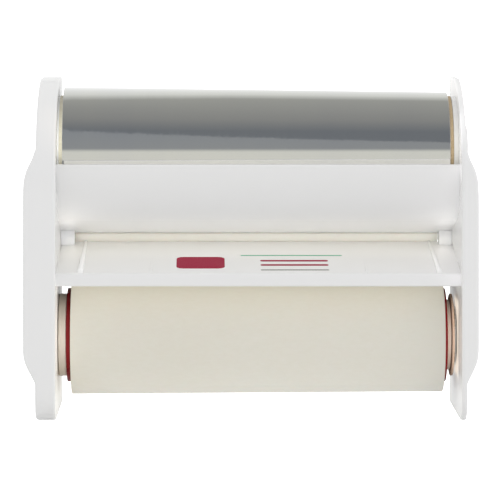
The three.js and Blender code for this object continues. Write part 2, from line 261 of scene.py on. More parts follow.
def finish_piece(ob, body, mat, nodes=(), angle=33):
    tidy(ob)
    ob.data.shade_smooth()
    ob.data.set_sharp_from_angle(angle=math.radians(angle))
    m = ob.modifiers.new("normals", "WEIGHTED_NORMAL")
    m.keep_sharp = True
    m.mode = "FACE_AREA"
    m.weight = 70
    ob.data.materials.clear()
    ob.data.materials.append(mat)
    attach(ob, body)
    if nodes:
        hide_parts(*nodes)
    return ob


# ---------------------------------------------------------------------------
# Materials
# ---------------------------------------------------------------------------
class Graph:
    def __init__(self, tree):
        self.tree = tree
        tree.nodes.clear()

    def node(self, kind, inputs=None, **settings):
        n = self.tree.nodes.new(kind)
        for k, v in settings.items():
            setattr(n, k, v)
        for k, v in (inputs or {}).items():
            self.put(n.inputs[k], v)
        return n

    def put(self, socket, value):
        if isinstance(value, bpy.types.NodeSocket):
            self.tree.links.new(value, socket)
        else:
            socket.default_value = value

    def math(self, op, a, b=0.0, c=0.0, clamp=False):
        n = self.node("ShaderNodeMath", operation=op, use_clamp=clamp)
        for i, v in enumerate((a, b, c)):
            self.put(n.inputs[i], v)
        return n.outputs[0]

    def mix(self, factor, a, b):
        n = self.node("ShaderNodeMix", data_type="RGBA")
        self.put(n.inputs[0], factor)
        self.put(n.inputs[6], a)
        self.put(n.inputs[7], b)
        return n.outputs[2]

    def ramp(self, factor, stops, interpolation="LINEAR"):
        n = self.node("ShaderNodeValToRGB")
        n.color_ramp.interpolation = interpolation
        while len(n.color_ramp.elements) > 1:
            n.color_ramp.elements.remove(n.color_ramp.elements[-1])
        n.color_ramp.elements[0].position = stops[0][0]
        n.color_ramp.elements[0].color = stops[0][1]
        for p, c in stops[1:]:
            n.color_ramp.elements.new(p).color = c
        self.put(n.inputs[0], factor)
        return n.outputs[0]

    def noise(self, vector, scale, detail=3.0, roughness=0.5, distortion=0.0):
        n = self.node("ShaderNodeTexNoise", {"Vector": vector, "Scale": scale, "Detail": detail, "Roughness": roughness, "Distortion": distortion})
        return n.outputs[0]

    def stretch(self, vector, scale):
        n = self.node("ShaderNodeMapping", {"Vector": vector, "Scale": scale})
        return n.outputs[0]

    def spread(self, value, lo, hi, out_lo, out_hi, smooth=False):
        n = self.node("ShaderNodeMapRange", {"Value": value, "From Min": lo, "From Max": hi, "To Min": out_lo, "To Max": out_hi})
        if smooth:
            n.interpolation_type = "SMOOTHSTEP"
        return n.outputs[0]


def linear(rgb):
    """8-bit display colour to linear."""
    out = []
    for v in rgb:
        v /= 255
        out.append(v / 12.92 if v <= 0.04045 else ((v + 0.055) / 1.055) ** 2.4)
    return (*out, 1.0)


def scaled(colour, k):
    return (colour[0] * k, colour[1] * k, colour[2] * k, 1.0)


def new_material(name, rgb):
    mat = bpy.data.materials.new(name)
    mat.use_nodes = True
    mat.diffuse_color = linear(rgb)
    g = Graph(mat.node_tree)
    out = g.node("ShaderNodeOutputMaterial")
    bsdf = g.node("ShaderNodeBsdfPrincipled")
    g.tree.links.new(bsdf.outputs[0], out.inputs[0])
    coord = g.node("ShaderNodeTexCoord").outputs["Object"]
    return mat, g, bsdf, coord


def plastic(name, rgb, warm, roughness=0.4, depth=0.12, grain=0.02):
    """Moulded plastic: faint flow marks in the colour, a slightly uneven polish, and a little light carried inside."""
    mat, g, bsdf, coord = new_material(name, rgb)
    base = linear(rgb)
    if warm == rgb:  # glossy white mouldings are even all over
        g.put(bsdf.inputs["Base Color"], base)
        g.put(bsdf.inputs["Roughness"], roughness)
    else:
        flow = g.noise(g.stretch(coord, (0.5, 1.0, 1.6)), 22.0, 1.0, 0.4, 0.4)
        g.put(bsdf.inputs["Base Color"], g.mix(g.spread(flow, 0.2, 0.8, 0.0, 1.0, True), base, linear(warm)))
        polish = g.noise(coord, 90.0, 1.0, 0.5)
        g.put(bsdf.inputs["Roughness"], g.spread(polish, 0.2, 0.8, roughness - 0.01, roughness + 0.01, True))
    if grain:
        fine = g.noise(coord, 2600.0, 2.0, 0.6)
        bump = g.node("ShaderNodeBump", {"Strength": grain, "Distance": 0.00012, "Height": fine})
        g.put(bsdf.inputs["Normal"], bump.outputs[0])
    g.put(bsdf.inputs["Subsurface Weight"], depth)
    g.put(bsdf.inputs["Subsurface Radius"], (1.0, 0.92, 0.8))
    g.put(bsdf.inputs["Subsurface Scale"], 0.0012)
    g.put(bsdf.inputs["IOR"], 1.47)
    return mat


def board(name, rgb, dark, light, layered=False, roughness=0.85):
    """Kraft or cream board: short fibres and, on a cut edge, thin plies."""
    mat, g, bsdf, coord = new_material(name, rgb)
    fibre = g.noise(g.stretch(coord, (1.0, 1.0, 1.0)), 900.0, 5.0, 0.65, 1.2)
    blotch = g.noise(coord, 90.0, 3.0, 0.5)
    tone = g.math("ADD", g.math("MULTIPLY", fibre, 0.65), g.math("MULTIPLY", blotch, 0.35))
    colour = g.mix(g.spread(tone, 0.34, 0.66, 0.0, 1.0), linear(dark), linear(light))
    if layered:
        plies = g.node("ShaderNodeTexWave", {"Vector": coord, "Scale": 900.0, "Distortion": 1.5, "Detail": 2.0, "Detail Scale": 1.5}, wave_type="RINGS", rings_direction="X")
        colour = g.mix(g.spread(plies.outputs[1], 0.0, 1.0, 0.0, 0.22), colour, linear(dark))
    g.put(bsdf.inputs["Base Color"], colour)
    g.put(bsdf.inputs["Roughness"], g.spread(fibre, 0.3, 0.7, roughness - 0.08, roughness + 0.08))
    bump = g.node("ShaderNodeBump", {"Strength": 0.35, "Distance": 0.00006, "Height": tone})
    g.put(bsdf.inputs["Normal"], bump.outputs[0])
    g.put(bsdf.inputs["Specular IOR Level"], 0.25)
    return mat


WHITE = (241, 241, 241)
m_white = plastic("white_plastic", WHITE, WHITE, 0.27, 0.0, 0.0)
m_hub = plastic("hub_plastic", (218, 206, 190), (210, 197, 180), 0.5, 0.1)
m_red = plastic("red_plastic", (118, 0, 8), (104, 0, 5), 0.5, 0.0)
m_red.node_tree.nodes["Principled BSDF"].inputs["Specular IOR Level"].default_value = 0.25


def film_material():
    """Wound clear film: a bright, slightly wavy mirror, with the finest winding lines around the roll."""
    mat, g, bsdf, coord = new_material("film", (172, 174, 174))
    tint = g.noise(g.stretch(coord, (60.0, 4.0, 4.0)), 1.0, 2.0, 0.5)
    g.put(bsdf.inputs["Base Color"], g.mix(g.spread(tint, 0.3, 0.7, 0.0, 1.0), (0.80, 0.81, 0.80, 1.0), (0.775, 0.785, 0.79, 1.0)))
    g.put(bsdf.inputs["Metallic"], 1.0)
    g.put(bsdf.inputs["Roughness"], g.spread(g.noise(g.stretch(coord, (700.0, 12.0, 12.0)), 1.0, 2.0, 0.6), 0.3, 0.7, 0.045, 0.085))
    broad = g.noise(g.stretch(coord, (48.0, 16.0, 16.0)), 1.0, 2.0, 0.5)
    comb = g.noise(g.stretch(coord, (420.0, 40.0, 40.0)), 1.0, 2.0, 0.55)
    b1 = g.node("ShaderNodeBump", {"Strength": 0.3, "Distance": 0.00018, "Height": broad})
    b2 = g.node("ShaderNodeBump", {"Strength": 0.16, "Distance": 0.00004, "Height": comb, "Normal": b1.outputs[0]})
    g.put(bsdf.inputs["Normal"], b2.outputs[0])
    return mat


def liner_material():
    """Coated release paper: cream, faintly fibrous, with a broad soft sheen and slow bands round the roll."""
    mat, g, bsdf, coord = new_material("liner_paper", (226, 222, 206))
    fibre = g.noise(g.stretch(coord, (420.0, 900.0, 900.0)), 1.0, 4.0, 0.6)
    slow = g.noise(g.stretch(coord, (26.0, 9.0, 9.0)), 1.0, 2.0, 0.5)
    tone = g.math("ADD", g.math("MULTIPLY", fibre, 0.4), g.math("MULTIPLY", slow, 0.6))
    g.put(bsdf.inputs["Base Color"], g.mix(g.spread(tone, 0.35, 0.65, 0.0, 1.0), linear((228, 224, 211)), linear((232, 229, 218))))
    g.put(bsdf.inputs["Roughness"], g.spread(slow, 0.3, 0.7, 0.5, 0.58))
    bump = g.node("ShaderNodeBump", {"Strength": 0.15, "Distance": 0.00005, "Height": tone})
    g.put(bsdf.inputs["Normal"], bump.outputs[0])
    g.put(bsdf.inputs["Subsurface Weight"], 0.06)
    g.put(bsdf.inputs["Subsurface Scale"], 0.001)
    return mat


def steel_material():
    mat, g, bsdf, coord = new_material("spring_steel", (186, 189, 193))
    brush = g.noise(g.stretch(coord, (200.0, 1600.0, 1600.0)), 1.0, 3.0, 0.6)
    g.put(bsdf.inputs["Base Color"], g.mix(brush, (0.50, 0.51, 0.53, 1), (0.66, 0.67, 0.68, 1)))
    g.put(bsdf.inputs["Metallic"], 1.0)
    g.put(bsdf.inputs["Roughness"], g.spread(brush, 0.3, 0.7, 0.22, 0.38))
    return mat


def ink(name, rgb, light):
    """Pad-printed ink: even colour with tiny pinholes and a soft gloss."""
    mat, g, bsdf, coord = new_material(name, rgb)
    speck = g.noise(coord, 2400.0, 3.0, 0.7)
    g.put(bsdf.inputs["Base Color"], g.mix(g.spread(speck, 0.58, 0.75, 0.0, 0.6), linear(rgb), linear(light)))
    g.put(bsdf.inputs["Roughness"], g.spread(speck, 0.3, 0.7, 0.5, 0.62))
    g.put(bsdf.inputs["Specular IOR Level"], 0.15)
    return mat


def web_material():
    """A single ply of film with its adhesive coat: milky, and softly shining."""
    mat, g, bsdf, coord = new_material("film_ply", (226, 222, 208))
    haze = g.noise(g.stretch(coord, (30.0, 60.0, 60.0)), 1.0, 2.0, 0.5)
    g.put(bsdf.inputs["Base Color"], g.mix(g.spread(haze, 0.3, 0.7, 0.0, 1.0), linear((228, 224, 211)), linear((222, 218, 203))))
    g.put(bsdf.inputs["Roughness"], 0.35)
    return mat


m_film = film_material()
m_web = web_material()
m_liner = liner_material()
m_steel = steel_material()
m_core = board("core_board", (183, 154, 114), (160, 128, 88), (196, 168, 126), True)
m_kraft = board("kraft_board", (204, 184, 152), (184, 162, 128), (212, 192, 162))
m_cream = board("cream_board", (228, 223, 202), (216, 208, 184), (234, 229, 212))
m_felt = board("felt", (190, 165, 145), (172, 146, 126), (200, 178, 158), False, 0.95)


# ---------------------------------------------------------------------------
# Side plates
# ---------------------------------------------------------------------------
FRONT, BACK, TOP, BOTTOM = -32.0, 24.5, 55.8, -58.6
WALL = 68.0
LEFT_SKIN, LEFT_OUT, RIGHT_OUT = 1.8, -74.8, 69.9
SHELF_FRONT, SHELF_BACK, SHELF_T, LIP_BOTTOM = (-28.0, -8.8), (18.0, -1.6), 1.6, -12.95
SLOPE = (SHELF_BACK[1] - SHELF_FRONT[1]) / (SHELF_BACK[0] - SHELF_FRONT[0])
GUARD_R, GUARD_T, GUARD_TOP_Y, SLOT_TOP = 25.35, 1.4, -25.0, 1.3
TRAY_TONGUES = ((-21.0, -11.0), (3.0, 13.0))
GUARD_TONGUES = (25.0, 62.0)


def shelf_z(y):
    return SHELF_FRONT[1] + (y - SHELF_FRONT[0]) * SLOPE


def guard_point(angle, r):
    a = math.radians(angle)
    return (-math.cos(a) * r, FILM_Z - math.sin(a) * r)


def plate_outline():
    b, t, d, f = BACK, TOP, BOTTOM, FRONT
    top_corner = [(b - 2.2 * (1 - math.cos(a)), t - 2.2 * (1 - math.sin(a))) for a in [math.pi / 2 * i / 7 for i in range(8)]]
    low_corner = [(b - 1.6 * (1 - math.sin(a)), d + 1.6 * (1 - math.cos(a))) for a in [math.pi / 2 * i / 6 for i in range(7)]]
    pts = [(b, -20.0), (b, 18.0)] + top_corner
    pts += [(16.0, t)] + bezier((6.5, t), (-1.5, t - 0.4), (-11.0, 51.6), (-17.5, 47.0), 20)
    pts += bezier((-17.5, 47.0), (-24.5, 41.6), (f, 33.5), (f, 22.5), 22)
    pts += [(f, 22.5), (f, 8.0), (f, -8.0), (f, -24.0)]
    pts += bezier((f, -46.5), (f, -54.2), (-29.2, -58.3), (-20.5, d), 22)
    pts += [(-20.5, d), (2.0, d)] + low_corner
    return pts


def tray_tongue(span, grow):
    y0, y1 = span
    g = grow
    return [(y0 - g, shelf_z(y0 - g) - SHELF_T - g), (y1 + g, shelf_z(y1 + g) - SHELF_T - g), (y1 + g, shelf_z(y1 + g) + g), (y0 - g, shelf_z(y0 - g) + g)]


def guard_tongue(angle, grow):
    half = 8 + math.degrees(grow / GUARD_R)
    r0, r1 = GUARD_R - GUARD_T - grow, GUARD_R + grow
    return [guard_point(angle + k * half, r0) for k in (-1, -0.5, 0, 0.5, 1)] + [guard_point(angle + k * half, r1) for k in (1, 0.5, 0, -0.5, -1)]


def circle(y, z, r, n=72):
    return [(y + r * math.cos(2 * math.pi * k / n), z + r * math.sin(2 * math.pi * k / n)) for k in range(n)]


def window_outlines():
    return [fillet(ccw(tray_tongue(t, 0.25)), 0.25, 3) for t in TRAY_TONGUES] + [fillet(ccw(guard_tongue(a, 0.25)), [0.2] + [0] * 3 + [0.2] * 2 + [0] * 3 + [0.2], 3) for a in GUARD_TONGUES]


def pin(name, side, z, outer, boss_r, boss_outer, boss_inner):
    """Hollow stub pin with its boss, as one turned piece: open to the outside, closed at its nose."""
    s = side
    prof = [
        (s * 60.0, 0.02), (s * 60.0, 4.1), (s * 60.85, 5.0), (s * (boss_inner - 0.01), 5.0), (s * boss_inner, boss_r),
        (s * boss_outer, boss_r), (s * outer, 5.0), (s * outer, 3.2), (s * 61.6, 3.2), (s * 61.6, 0.02),
    ]
    return lathe(name, fillet(prof, [0, 0.3, 0.4, 0.25, 0.2, 0.5, 0.25, 0.25, 0.3, 0], 4), z, 96)


WING_PROFILE = [
    (33.6, -0.5), (32.9, 0.0), (32.3, 0.28), (31.2, 0.62), (30.0, 1.02), (28.9, 1.56), (27.8, 2.12), (26.75, 2.6), (25.7, 3.02), (24.5, 3.38),
    (23.3, 3.64), (22.1, 3.82), (21.0, 3.92), (19.5, 4.0), (17.5, 4.06), (15.0, 4.1), (9.0, 4.1), (2.0, 4.1), (-6.0, 4.1), (-14.0, 4.1), (-22.0, 4.1),
    (-29.0, 4.1), (-33.0, 4.08), (-34.8, 4.02), (-36.2, 3.88), (-37.3, 3.66), (-38.3, 3.36), (-39.2, 3.0), (-40.1, 2.58), (-41.0, 2.14), (-42.0, 1.62),
    (-43.0, 1.08), (-43.9, 0.6), (-44.6, 0.25), (-45.2, 0.0), (-45.9, -0.5),
]
FRONT_EDGE = sorted({(round(z, 3), y) for y, z in plate_outline() if y < -14.0 and z < 48.5})


def front_at(z):
    """How far forward the plate's edge stands at a height."""
    for (z0, y0), (z1, y1) in zip(FRONT_EDGE, FRONT_EDGE[1:]):
        if z0 <= z <= z1:
            return y0 + (y1 - y0) * (z - z0) / max(1e-9, z1 - z0)
    return FRONT


def wing(name, root, side, reach, thick, inner):
    """Flat wing along the front edge: its tip sits `reach` beyond the root, and its ends follow the plate's curve."""
    rings, verts, faces = [], [], []
    for z, u in WING_PROFILE:
        tip = root + side * u / 4.1 * reach
        y = front_at(z) + 0.02
        width = abs(tip - inner)
        r = min(0.85, width * 0.45, thick * 0.45)
        loop = fillet([(inner, y), (tip, y), (tip, y + thick), (inner, y + thick)], [0, r, r, 0], 6)
        start = len(verts)
        verts += [(px, py, z) for px, py in loop]
        rings.append(list(range(start, start + len(loop))))
    for r0, r1 in zip(rings, rings[1:]):
        n = len(r0)
        faces += [(r0[i], r0[(i + 1) % n], r1[(i + 1) % n], r1[i]) for i in range(n)]
    faces.append(tuple(rings[0]))
    faces.append(tuple(rings[-1]))
    return make(name, verts, faces)


def gusset(name, x0, x1, z):
    y = FRONT + 2.2
    return slab(name, fillet([(x0, y), (x1, y), (x0, y + 9.2)], 0.3, 3), z - 0.7, z + 0.7, 0.25, along_z)


def bar(name, x0, x1, y0, y1, z0, z1, r=0.3):
    return slab(name, fillet([(y0, z0), (y1, z0), (y1, z1), (y0, z1)], r, 3), x0, x1, r * 0.8, along_x, n=2)


outline = ccw(plate_outline())


def left_plate():
    x_in, x_floor, x_rim = -WALL, -WALL - LEFT_SKIN, LEFT_OUT
    st = wall(x_in, x_rim, 0.75, 0.85, 5)
    st += [(x_rim, LEFT_SKIN - 0.45)] + [(x_rim + 0.45 * (1 - math.cos(a)), LEFT_SKIN - 0.45 * (1 - math.sin(a))) for a in (math.pi / 6, math.pi / 3, math.pi / 2)]
    st += [(x_floor - 0.8, LEFT_SKIN)] + [(x_floor - 0.8 * (1 - math.sin(a)), LEFT_SKIN + 0.8 * (1 - math.cos(a))) for a in (math.pi / 8, math.pi / 4, 3 * math.pi / 8, math.pi / 2)]
    loops = [(outline, st)]
    for h in window_outlines():
        loops.append((ccw(h)[::-1], wall(x_in, x_floor, 0.12, 0.12, 2)))
    p = loft("left_plate", loops, along_x)
    parts = [wing("w", LEFT_OUT, -1, 4.1, 2.6, LEFT_OUT + 1.2)]
    for i, z in enumerate((18, -6, -30)):
        parts.append(gusset(f"g{i}", LEFT_OUT + 0.35, -78.4, z))
    rib = -73.6
    parts.append(bar("r0", rib, -WALL - 0.6, -1, 1, BOTTOM + 1, TOP - 1))
    parts.append(bar("r1", rib, -WALL - 0.6, FRONT + 1, BACK - 1, -13.4, -12.0))
    parts.append(bar("r2", rib, -WALL - 0.6, -27.5, BACK - 1, 11.6, 13.0))
    for i, z in enumerate((FILM_Z, LINER_Z)):
        parts.append(lathe(f"b{i}", fillet([(rib, 0.02), (rib, 8.0), (-WALL - 0.9, 8.0), (-WALL - 0.9, 0.02)], [0, 0.6, 0, 0], 4), z, 96))
        parts.append(lathe(f"c{i}", fillet([(-60.0, 0.02), (-60.0, 4.2), (-60.8, 5.0), (-69.0, 5.0), (-69.0, 0.02)], [0, 0.3, 0.4, 0, 0], 4), z, 96))
    combine(p, parts)
    cuts = [lathe(f"d{i}", fillet([(-80.0, 0.02), (-80.0, 3.2), (-61.6, 3.2), (-61.6, 0.02)], [0, 0, 0.5, 0], 4), z, 72) for i, z in enumerate((FILM_Z, LINER_Z))]
    combine(p, cuts, "DIFFERENCE")
    return finish_piece(p, "frame", m_white, ("left_side_plate",))


def right_plate():
    loops = [(outline, wall(WALL, RIGHT_OUT, 0.75, 0.4, 4))]
    for h in window_outlines():
        loops.append((ccw(h)[::-1], wall(WALL, RIGHT_OUT, 0.12, 0.12, 2)))
    p = loft("right_plate", loops, along_x)
    parts = [wing("w", RIGHT_OUT, 1, 3.85, 2.6, RIGHT_OUT - 0.95)]
    for i, z in enumerate((18, -6, -30)):
        parts.append(gusset(f"g{i}", RIGHT_OUT - 0.3, 73.3, z))
    for i, z in enumerate((FILM_Z, LINER_Z)):
        parts.append(lathe(f"b{i}", fillet([(WALL + 0.9, 0.02), (WALL + 0.9, 8.0), (72.0, 8.0), (72.0, 0.02)], [0, 0, 0.6, 0], 4), z, 96))
        parts.append(lathe(f"c{i}", fillet([(60.0, 0.02), (60.0, 4.2), (60.8, 5.0), (69.0, 5.0), (69.0, 0.02)], [0, 0.3, 0.4, 0, 0], 4), z, 96))
    parts.append(lathe("s", fillet([(66.4, 0.02), (66.4, 8.6), (68.8, 8.6), (68.8, 0.02)], [0, 0.3, 0, 0], 4), FILM_Z, 96))
    combine(p, parts)
    cuts = [lathe(f"d{i}", fillet([(80.0, 0.02), (80.0, 3.2), (61.6, 3.2), (61.6, 0.02)], [0, 0, 0.5, 0], 4), z, 72) for i, z in enumerate((FILM_Z, LINER_Z))]
    combine(p, cuts, "DIFFERENCE")
    return finish_piece(p, "frame", m_white, ("right_side_plate",))


left_plate()
right_plate()


# ---------------------------------------------------------------------------
# Feed tray
# ---------------------------------------------------------------------------
W = WALL + 0.02


def guide(name, xb, xf, wb, wf):
    """A raised paper guide, from the slot to the lip: wider and taller towards the front, rounded over its top."""
    verts, faces, rings = [], [], []
    yf = SHELF_FRONT[0]
    n = 26
    for k in range(n + 1):
        t = k / n
        y = 17.6 + (yf + 1.2 - 17.6) * t
        x = xb + (xf - xb) * t
        w = wb + (wf - wb) * t
        h = 0.35 + 0.65 * t
        if t > 0.9:
            h *= math.sqrt(max(0.0, 1 - ((t - 0.9) / 0.1) ** 2)) * 0.999 + 0.001
        loop = [(x - w / 2, -0.5), (x - w / 2, 0.0)]
        for q in range(9):
            a = math.pi * q / 8
            loop.append((x - w / 2 * math.cos(a) * 0.96, h * math.sin(a) ** 0.7 if 0 < q < 8 else 0.002))
        loop += [(x + w / 2, 0.0), (x + w / 2, -0.5)]
        start = len(verts)
        verts += [(px, y, shelf_z(y) + pz) for px, pz in loop]
        rings.append(list(range(start, start + len(loop))))
    for r0, r1 in zip(rings, rings[1:]):
        m = len(r0)
        faces += [(r0[i], r0[(i + 1) % m], r1[(i + 1) % m], r1[i]) for i in range(m)]
    faces.append(tuple(rings[0]))
    faces.append(tuple(rings[-1]))
    return make(name, verts, faces)


def feed_tray():
    yf, zf = SHELF_FRONT
    yb, zb = SHELF_BACK
    t = SHELF_T
    profile = [
        (yb, zb), (yb, zb - t), (yf + t + 1.0, shelf_z(yf + t + 1.0) - t), (yf + t, zf - t - 0.9),
        (yf + t - 0.1, LIP_BOTTOM), (yf - 0.3, LIP_BOTTOM), (yf, zf + 0.02),
    ]
    prof = ccw(fillet(profile, [0.5, 0.5, 0.6, 0.6, 0.45, 0.6, 1.1], 6))
    p = slab("tray", prof, -W, W, 0.03, along_x)
    parts = []
    for i, x in enumerate((-36.0, 36.6)):
        r = [(yf + 2.2, shelf_z(yf + 2.2) - 0.5), (-3.0, shelf_z(-3.0) - 0.5), (-3.0, shelf_z(-3.0) + 0.02), (yf + 5.0, shelf_z(yf + 5.0) + 0.16), (yf + 2.2, shelf_z(yf + 2.2) + 0.12)]
        parts.append(slab(f"m{i}", ccw(r), x - 0.45, x + 0.45, 0.15, along_x, n=3))
    for i, x in enumerate((-60, -36, 0, 36, 60)):
        g = [(yf + t - 0.5, LIP_BOTTOM + 0.8), (yf + t + 9, shelf_z(yf + t + 9) - t + 0.4), (yf + t - 0.5, zf - t + 0.4)]
        parts.append(slab(f"g{i}", ccw(fillet(g, 0.3, 3)), x - 0.6, x + 0.6, 0.2, along_x, n=2))
    for i, tongue in enumerate(TRAY_TONGUES):
        o = ccw(fillet(ccw(tray_tongue(tongue, 0)), 0.25, 3))
        parts.append(slab(f"t{i}", o, W - 0.9, RIGHT_OUT - 0.1, 0.2, along_x, n=2))
        parts.append(slab(f"u{i}", o, -WALL - LEFT_SKIN + 0.1, -W + 0.9, 0.2, along_x, n=2))
    combine(p, parts)
    return finish_piece(p, "frame", m_white, ("feed_tray",))


feed_tray()
guides = [guide(f"tray_guide_{i}", xb, xf, wb, wf) for i, (xb, xf, wb, wf) in enumerate(((-59.5, -59.85, 1.15, 2.3), (60.35, 60.95, 1.15, 2.1)))]
for p in guides:
    finish_piece(p, "frame", m_white, ())


# ---------------------------------------------------------------------------
# Film guard and edge blocks
# ---------------------------------------------------------------------------
RAMP_END = (SHELF_BACK[0], SLOT_TOP)
_d = math.hypot(RAMP_END[0], RAMP_END[1] - FILM_Z)
RAMP_ANGLE = math.degrees(math.atan2(FILM_Z - RAMP_END[1], -RAMP_END[0])) - math.degrees(math.acos(GUARD_R / _d))


def film_guard():
    a0 = math.degrees(math.acos(-GUARD_TOP_Y / GUARD_R))
    steps = 40
    outer = [guard_point(a0 + (RAMP_ANGLE - a0) * i / steps, GUARD_R) for i in range(steps + 1)]
    inner = [guard_point(a0 + (RAMP_ANGLE - a0) * i / steps, GUARD_R - GUARD_T) for i in range(steps + 1)]
    n = (math.cos(math.radians(RAMP_ANGLE)) * GUARD_T, math.sin(math.radians(RAMP_ANGLE)) * GUARD_T)
    top = [(RAMP_END[0], RAMP_END[1]), (RAMP_END[0], RAMP_END[1] + n[1] + 0.2)]
    radii = [0.62] + [0] * steps + [0.3, 0.5] + [0] * steps + [0.62]
    prof = ccw(outer + top + inner[::-1]) if False else outer + top + inner[::-1]
    prof = fillet(prof, radii, 5)
    p = slab("guard", ccw(prof), -W, W, 0.03, along_x)
    parts = []
    for i, a in enumerate(GUARD_TONGUES):
        o = ccw(guard_tongue(a, 0))
        parts.append(slab(f"t{i}", o, W - 0.9, RIGHT_OUT - 0.1, 0.15, along_x, n=2))
        parts.append(slab(f"u{i}", o, -WALL - LEFT_SKIN + 0.1, -W + 0.9, 0.15, along_x, n=2))
    combine(p, parts)
    return finish_piece(p, "frame", m_white, ("film_guard",))


film_guard()


def edge_block(name, node, x0, x1):
    y0, y1 = 12.5, 17.9
    ramp = lambda y: RAMP_END[1] + (RAMP_END[0] - y) * math.cos(math.radians(RAMP_ANGLE)) / math.sin(math.radians(RAMP_ANGLE))
    # its faces meet the tray, the guard and the plate, so no dark hairline is left around it
    y2 = 20.7
    o = [(y0, shelf_z(y0) - 0.05), (y2, shelf_z(y2) - 0.05), (y2, ramp(y1) + 0.05), (y1, ramp(y1) + 0.05), (y0, ramp(y0) + 0.05)]
    p = slab(name, ccw(fillet(ccw(o), 0.2, 4)), x0, x1, 0.2, along_x, n=4)
    return finish_piece(p, "frame", m_white, (node,))


edge_block("slot_block_left", "edge_block_left", -W, -63.2)
edge_block("slot_block_right", "edge_block_right", 63.5, W)


# ---------------------------------------------------------------------------
# Print on the tray: one plain patch and plain solid bars, with no picture and nothing to read
# ---------------------------------------------------------------------------
TILT = math.atan(SLOPE)


def on_tray(x, y, w):
    """x across the tray, y along the drawing's depth, w above the tray's face."""
    return (x, y - w * math.sin(TILT), shelf_z(y) + w * math.cos(TILT))


def join(name, obs):
    base = obs[0]
    base.name = name
    if len(obs) > 1:
        bm = bmesh.new()
        for o in obs:
            bm.from_mesh(o.data)
        bm.to_mesh(base.data)
        bm.free()
        for o in obs[1:]:
            m = o.data
            bpy.data.objects.remove(o)
            bpy.data.meshes.remove(m)
    return base


def printed(name, shapes, mat, w0=0.005, w1=0.03):
    obs = []
    for i, s in enumerate(shapes):
        outline, holes = (s, ()) if not isinstance(s, dict) else (s["outline"], s["holes"])
        loops = [(ccw(outline), [(w0, 0.0), (w1, 0.0)])] + [(ccw(h)[::-1], [(w0, 0.0), (w1, 0.0)]) for h in holes]
        obs.append(loft(f"{name}{i}", loops, on_tray))
    ob = finish_piece(join(name, obs), "frame", mat, angle=20)
    ob.visible_diffuse = False
    ob.visible_glossy = False
    return ob


def ellipse(x, y, rx, ry, n=96):
    return [(x + rx * math.cos(2 * math.pi * k / n), y + ry * math.sin(2 * math.pi * k / n)) for k in range(n)]


def box2(x0, x1, y0, y1, r):
    return fillet([(x0, y0), (x1, y0), (x1, y1), (x0, y1)], r, 3)


m_crimson = ink("ink_crimson", (160, 0, 54), (174, 22, 76))
m_ink_green = ink("ink_green", (96, 176, 140), (150, 200, 175))
m_ink_grey = ink("ink_grey", (98, 98, 92), (140, 140, 132))
printed("print_patch", [box2(-27.6, -11.2, -20.6, -4.6, 2.4)], m_crimson)
printed("print_bar_green", [box2(-5.7, 29.1, -3.1, -1.9, 0.5)], m_ink_green)
printed("print_bars_crimson", [box2(0.9, 24.0, -11.0, -8.8, 0.8), box2(0.9, 24.0, -16.8, -14.6, 0.8)], m_crimson)
printed("print_bar_grey", [box2(0.9, 24.0, -23.0, -21.9, 0.5)], m_ink_grey)


# ---------------------------------------------------------------------------
# Film roll
# ---------------------------------------------------------------------------
def wound(name, x0, x1, r_in, r0, r1, z, edge, step, seed):
    """A wound roll: straight bore, slightly conical outside, and turns that stand a hair proud or back at its ends."""
    rng = random.Random(seed)

    def end(x, r_out, side):
        pts, r = [], r_in + 0.15
        while r < r_out - edge - step:
            d = side * rng.uniform(-0.05, 0.03)
            pts.append((x + d, r))
            pts.append((x + d, r + step * 0.82))
            r += step
        return pts

    right = [(x1, r_in)] + end(x1, r1, 1)
    left = [(x0, r_in)] + end(x0, r0, -1)
    outer_r = [(x1, r1 - edge)] + [(x1 - edge * (1 - math.cos(a)), r1 - edge * (1 - math.sin(a))) for a in (math.pi / 6, math.pi / 3, math.pi / 2)]
    outer_l = [(x0 + edge * (1 - math.cos(a)), r0 - edge * (1 - math.sin(a))) for a in (math.pi / 2, math.pi / 3, math.pi / 6)] + [(x0, r0 - edge)]
    n = 48
    xs = [x1 - edge + (x0 - x1 + 2 * edge) * k / n for k in range(1, n)]
    body = []
    for x in xs:
        f = (x - x0) / (x1 - x0)
        r = r0 + (r1 - r0) * f
        body.append((x, r))
    return lathe(name, right + outer_r + body + outer_l + left[::-1], z, 224)


FX0, FX1 = -66.2, 65.1
p = wound("film_wound", FX0, FX1, 13.08, 21.1, 19.35, FILM_Z, 0.12, 0.42, 21)
finish_piece(p, "film_roll", m_film, ("film_winding",), 40)
p = ring("film_tube", FX0, FX1, 11.0, 13.0, FILM_Z, 0.2)
finish_piece(p, "film_roll", m_core, ("film_core",))
p = ring("film_washer_cream", -67.45, FX0 - 0.08, 11.08, 18.2, FILM_Z, 0.06)
finish_piece(p, "film_roll", m_cream, ("film_washer_left",))
p = ring("film_washer_kraft", FX1 + 0.08, FX1 + 1.25, 11.08, 18.05, FILM_Z, 0.2)
finish_piece(p, "film_roll", m_kraft, ("film_washer_right",))
p = lathe("film_plug_left", fillet([(-67.99, 5.2), (-67.99, 18.0), (-67.46, 18.0), (-67.46, 10.92), (-55.0, 10.92), (-54.0, 9.92), (-54.0, 5.2)], [0.3, 0.03, 0.03, 0.1, 0.3, 0.3, 0.3], 4), FILM_Z)
finish_piece(p, "film_roll", m_white, ("film_hub_left",))
p = lathe("film_plug_right", fillet([(63.2, 5.2), (63.2, 9.4), (67.99, 9.4), (67.99, 18.0), (66.43, 18.0), (66.43, 10.92), (54.0, 10.92), (53.0, 9.92), (53.0, 5.2)], [0.25, 0.2, 0.2, 0.04, 0.04, 0.2, 0.25, 0.25, 0.25], 4), FILM_Z)
finish_piece(p, "film_roll", m_white, ("film_hub_right",))
